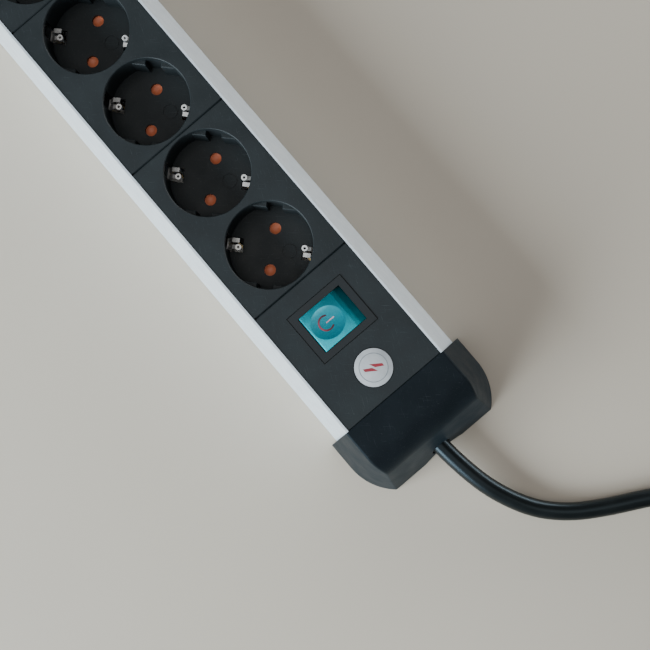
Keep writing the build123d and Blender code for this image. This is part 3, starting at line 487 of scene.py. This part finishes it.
relief_low, relief_high = [[v / MM for v in corner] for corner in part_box("plug_strain_relief")]
relief_y = (relief_low[1] + relief_high[1]) / 2
relief_z = (relief_low[2] + relief_high[2]) / 2
relief_root = (relief_high[2] - relief_low[2]) / 2
relief_tip = cord_radius + 0.9
relief_ribs = 6
rib_zone = (0.08, 0.86)  # where the ribs begin and end, as shares of its length
rib_fade = 0.05  # the share over which they come in and go out
rib_depth = 0.75
rib_power = 0.7  # below 1 it widens the grooves and sharpens the ribs
taper_power = 1.3
tip_bevel = (0.3, 0.35)  # along the lead and towards it


def strain_relief():
    """A ribbed taper that hugs the lead at one end and widens into the plug at the other."""
    around, along = 40, 97
    length = relief_high[0] - relief_low[0]
    bore = cord_radius - 0.05
    start, end = rib_zone
    bevel_x, bevel_r = tip_bevel
    profile = [(0.0, bore), (0.0, relief_tip - bevel_r), (bevel_x, relief_tip)]
    for k in range(1, along):
        t = k / (along - 1)
        taper = relief_tip + (relief_root - relief_tip) * t**taper_power
        in_ribs = smooth((t - start) / rib_fade) * smooth((end - t) / rib_fade)
        groove = max(0.0, cos(2 * pi * (relief_ribs * (t - start) / (end - start) + 0.5))) ** rib_power
        profile.append((bevel_x + (length - bevel_x) * t, taper - rib_depth * in_ribs * groove))
    profile.append((length, bore))
    vertices = []
    for x, r in profile:
        for k in range(around):
            a = 2 * pi * k / around
            vertices.append((relief_low[0] + x, relief_y + r * cos(a), relief_z + r * sin(a)))
    faces = grid_faces(len(profile), around)
    return solid("plug_relief_ribbed", vertices, faces, plug_black)


relief_piece = strain_relief()
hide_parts("plug_strain_relief")

tie_angle = radians(3.0)
tie_width = 12.0
tie_thickness = 1.0
tie_inner = (36.4, 61.6, 1.0, 26.2)  # the bundle it holds: radii, then heights
tie_corner = cord_radius


def at_tie(radius, across, z):
    """A point at the tie, from its distance to the coil's middle and its place across the strap."""
    c, s = cos(tie_angle), sin(tie_angle)
    return (coil_x + radius * c - across * s, coil_y + radius * s + across * c, z)


def tie_loop(grow):
    """Points round the bundle's section, grow millimetres outside it, with extra ones on its flats."""
    inner, outer, low, high = tie_inner
    corner_steps, flat_steps, shortest_flat = 8, 6, 4.0
    corners = [
        (outer - tie_corner, low + tie_corner, -90),
        (outer - tie_corner, high - tie_corner, 0),
        (inner + tie_corner, high - tie_corner, 90),
        (inner + tie_corner, low + tie_corner, 180),
    ]
    points = []
    for radius, z, start in corners:
        for k in range(corner_steps + 1):
            a = radians(start + 90 * k / corner_steps)
            r = tie_corner + grow
            points.append((radius + r * cos(a), z + r * sin(a)))
    dense = []
    for (r0, z0), (r1, z1) in zip(points, points[1:] + points[:1]):
        steps = flat_steps if abs(r1 - r0) + abs(z1 - z0) > shortest_flat else 1
        for k in range(steps):
            dense.append((r0 + (r1 - r0) * k / steps, z0 + (z1 - z0) * k / steps))
    return dense


def strap():
    """The tie's band: its inner and outer outlines, drawn across its width with soft edges."""
    half, outer_half = 0.5, 0.47  # shares of the width
    inner, outer = tie_loop(0.0), tie_loop(tie_thickness)
    edges = ((inner, -half), (outer, -outer_half), (outer, outer_half), (inner, half))
    vertices = [at_tie(r, side * tie_width, z) for loop, side in edges for r, z in loop]
    faces = grid_faces(len(edges), len(inner))
    return solid("cord_tie_band", vertices, faces, tie_cloth, smooth_faces=False)


def tie_tab():
    """The strap's free end, lying on its own top and rounded off."""
    length, thickness, corner = 15.0, 0.9, 3.5
    inset, setback, sunk = 0.4, 0.5, 0.02  # from the strap's edges, from its corner, into its face
    corner_steps = 6
    half = tie_width / 2 - inset
    start = tie_inner[1] - tie_corner - setback
    outline = [(start, -half), (start, half)]
    for k in range(2 * corner_steps + 1):
        a = pi / 2 + pi * k / (2 * corner_steps)
        side = (k < corner_steps) - (k > corner_steps)
        outline.append((start - length + corner * cos(a), (half - corner) * side + corner * sin(a)))
    n = len(outline)
    top = tie_inner[3] + tie_thickness
    vertices = [at_tie(r, across, z) for z in (top - sunk, top + thickness) for r, across in outline]
    faces = [tuple(range(n - 1, -1, -1)), tuple(range(n, 2 * n))]
    faces += [(k, (k + 1) % n, n + (k + 1) % n, n + k) for k in range(n)]
    return solid("cord_tie_tab", vertices, faces, tie_cloth, smooth_faces=False)


tie_band = strap()
tie_end = tie_tab()
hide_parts("cord_tie")

lead_piece = lead()
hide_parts("mains_cord", "mains_cord_coil", "mains_cord_tail")


# ------------------------------------------------------------------ printed marks
rocker_low, rocker_high = [[v / MM for v in corner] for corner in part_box("rocker_button")]
switch_x = (rocker_low[0] + rocker_high[0]) / 2
dish_depth = 0.85
dish_bottom = rocker_high[2] - dish_depth
dish_radii = [reach**2 / (2 * dish_depth) for reach in dish_reach]
badge_low, badge_high = [[v / MM for v in corner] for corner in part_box("badge_disc")]
badge_x = (badge_low[0] + badge_high[0]) / 2
badge_radius = (badge_high[0] - badge_low[0]) / 2
badge_dome = 0.8
badge_dome_radius = (badge_radius**2 + badge_dome**2) / (2 * badge_dome)
print_depth = 0.08  # how far the print's underside is sunk
end_width = 0.004  # half the width that a rounded stroke end narrows to
cap_steps = 5  # steps in a rounded stroke end


def on_dish(x, y):
    """The height of the rocker's finger dish under a place given from the switch's middle."""
    reach = dish_radii[1] - dish_radii[0] + sqrt(dish_radii[0] ** 2 - x**2)
    return dish_bottom + dish_radii[1] - sqrt(reach**2 - (y - dish_y) ** 2)


def on_badge(x, y):
    """The height of the badge's dome under a place given from its middle."""
    return badge_high[2] - badge_dome_radius + sqrt(badge_dome_radius**2 - x**2 - y**2)


def printed(name, strips, center_x, surface, material, body, thickness=0.03):
    """Thin print that follows a surface; each strip is two rows of points, one along each edge."""
    vertices, faces = [], []
    for left, right in strips:
        n = len(left)
        base = len(vertices)
        for lift in (thickness, -print_depth):
            for row in (left, right):
                vertices += [(center_x + x, y, surface(x, y) + lift) for x, y in row]
        a, b, c, d = (base + k * n for k in range(4))
        for k in range(n - 1):
            faces.append((a + k, a + k + 1, b + k + 1, b + k))
            faces.append((c + k, d + k, d + k + 1, c + k + 1))
            faces.append((a + k, c + k, c + k + 1, a + k + 1))
            faces.append((b + k, b + k + 1, d + k + 1, d + k))
        faces.append((a, b, d, c))
        faces.append((a + n - 1, c + n - 1, d + n - 1, b + n - 1))
    return solid(name, vertices, faces, material, body, smooth_faces=False)


def arc_strip(x, y, radius, stroke, start, end, steps=72):
    """A stroke along an arc with rounded ends, in degrees from +X."""
    inner, outer = [], []
    for k in range(-cap_steps, steps + cap_steps + 1):
        t = max(0, min(steps, k)) / steps
        over = max(-k, k - steps, 0) / cap_steps
        half = stroke / 2 * sqrt(max(0.0, 1 - over**2)) + end_width
        step = (over * stroke / 2 / radius) * (1 if k > steps else -1)
        a = radians(start + (end - start) * t) + (step if end > start else -step)
        for row, r in ((inner, radius - half), (outer, radius + half)):
            row.append((x + r * cos(a), y + r * sin(a)))
    return outer, inner


def bar_strip(x, low, high, width, steps=14):
    """A straight stroke along Y with rounded ends."""
    left, right = [], []
    for k in range(-cap_steps, steps + cap_steps + 1):
        t = max(0, min(steps, k)) / steps
        over = max(-k, k - steps, 0) / cap_steps
        half = width / 2 * sqrt(max(0.0, 1 - over**2)) + end_width
        y = low + (high - low) * t + over * width / 2 * (1 if k > steps else -1)
        left.append((x - half, y))
        right.append((x + half, y))
    return left, right


def print_ink(name, low_y, high_y, stops, rough=0.45):
    """Print whose tone runs from stop to stop along Y, with a slightly worn, uneven film."""
    m = Material(name, Roughness=rough)
    fade = m.ramp(m.spread(m.height("Y"), 0.0, 1.0, low_y * MM, high_y * MM), stops)
    worn = m.spread(m.noise(0.0004, detail=3), 0.0, 0.35, 0.5, 0.8)
    m.color(m.mix(worn, fade, (0.12, 0.05, 0.06)))
    m.bump(m.noise(0.0003), 0.000004)
    return m.material


symbol_x, symbol_y = -0.4, -3.1
ring_radius = 3.27
ring_top = 0.56  # how high the open ring's two ends reach, as a share of its radius
ring_ink = print_ink(
    "symbol_ring_ink", symbol_y - ring_radius, symbol_y + ring_radius * ring_top,
    [
        (0.0, (0.36, 0.07, 0.10)),
        (0.35, (0.17, 0.012, 0.03)),
        (0.75, (0.07, 0.003, 0.012)),
        (1.0, (0.08, 0.003, 0.014)),
    ],
)
bar_ink = print_ink("symbol_bar_ink", symbol_y, 1.3, [(0.0, (0.62, 0.30, 0.38)), (1.0, (0.66, 0.42, 0.50))])
printed(
    "power_symbol_ring", [arc_strip(symbol_x, symbol_y, ring_radius, 0.76, 146, 394)],
    switch_x, on_dish, ring_ink, "rocker",
)
printed(
    "power_symbol_bar", [bar_strip(symbol_x, symbol_y + 0.2, 1.1, 0.55)], switch_x, on_dish, bar_ink, "rocker"
)

badge_ink = print_ink(
    "badge_ink", -3.0, 3.0, [(0.0, (0.30, 0.015, 0.03)), (1.0, (0.38, 0.02, 0.04))], rough=0.3
)
badge_grey = print_ink(
    "badge_ring_ink", -8.0, 8.0, [(0.0, (0.20, 0.23, 0.25)), (1.0, (0.26, 0.29, 0.31))], rough=0.3
)


def line(x0, y0, x1, y1, steps=8):
    """Points from one place to another."""
    return [(x0 + (x1 - x0) * k / steps, y0 + (y1 - y0) * k / steps) for k in range(steps + 1)]


# a plain lightning bolt, drawn as an upper and a lower blade
bolt = [
    (line(0.9, 4.1, -2.3, -0.6), line(2.3, 4.1, 0.3, 0.6)),
    (line(-0.9, -4.1, 2.3, 0.6), line(-2.3, -4.1, -0.3, -0.6)),
]
printed("badge_mark", bolt, badge_x, on_badge, badge_ink, "housing")
printed("badge_ring", [arc_strip(0, 0, 6.3, 0.28, 90, 449.9, 120)], badge_x, on_badge, badge_grey, "housing")


# ------------------------------------------------------------------ floor and light
def floor():
    """A plain pale floor, far wider than any view."""
    mesh = bpy.data.meshes.new("floor")
    half = 8.0
    corners = [(-half, -half, 0), (half, -half, 0), (half, half, 0), (-half, half, 0)]
    mesh.from_pydata(corners, [], [(0, 1, 2, 3)])
    obj = bpy.data.objects.new("floor", mesh)
    bpy.context.scene.collection.objects.link(obj)
    obj.location.z = -0.0002
    m = Material("pale_floor")
    m.color(m.ramp(m.noise(0.25, detail=2), [(0.3, (0.60, 0.52, 0.42)), (0.7, (0.64, 0.56, 0.455))]))
    m.rough(m.spread(m.noise(0.05), 0.55, 0.65))
    mesh.materials.append(m.material)


def area_light(name, place, target, size, power, color):
    """A rectangular soft light that looks at a target."""
    light = bpy.data.lights.new(name, "AREA")
    light.shape = "RECTANGLE"
    light.size, light.size_y = size
    light.energy = power
    light.color = color
    obj = bpy.data.objects.new(name, light)
    bpy.context.scene.collection.objects.link(obj)
    obj.location = place
    obj.rotation_mode = "QUATERNION"
    obj.rotation_quaternion = (Vector(target) - Vector(place)).to_track_quat("-Z", "Y")


floor()
# each light's place, target, size, watts and colour
area_light("window", (0.05, -1.35, 0.62), (0.1, 0, 0.03), (1.2, 0.8), 50, (0.80, 0.92, 1.0))
area_light("ceiling", (0.1, -0.2, 1.8), (0.1, 0, 0), (1.4, 1.4), 7, (1.0, 0.97, 0.93))
area_light("far_side", (0.0, 1.35, 0.16), (0.1, 0, 0.02), (1.6, 0.3), 16, (0.95, 0.98, 1.0))


def room_light():
    """Even light from all round, brighter from the window's side."""
    world = bpy.data.worlds.new("room")
    world.use_nodes = True
    tree = world.node_tree
    coords = tree.nodes.new("ShaderNodeTexCoord")
    split = tree.nodes.new("ShaderNodeSeparateXYZ")
    ramp = tree.nodes.new("ShaderNodeMapRange")
    ramp.inputs["From Min"].default_value = -1.0
    ramp.inputs["From Max"].default_value = 1.0
    ramp.inputs["To Min"].default_value = 0.32
    ramp.inputs["To Max"].default_value = 0.08
    tree.links.new(coords.outputs["Generated"], split.inputs["Vector"])
    tree.links.new(split.outputs["Y"], ramp.inputs["Value"])
    background = tree.nodes["Background"]
    background.inputs["Color"].default_value = (0.82, 0.90, 1.0, 1.0)
    tree.links.new(ramp.outputs["Result"], background.inputs["Strength"])
    bpy.context.scene.world = world


room_light()
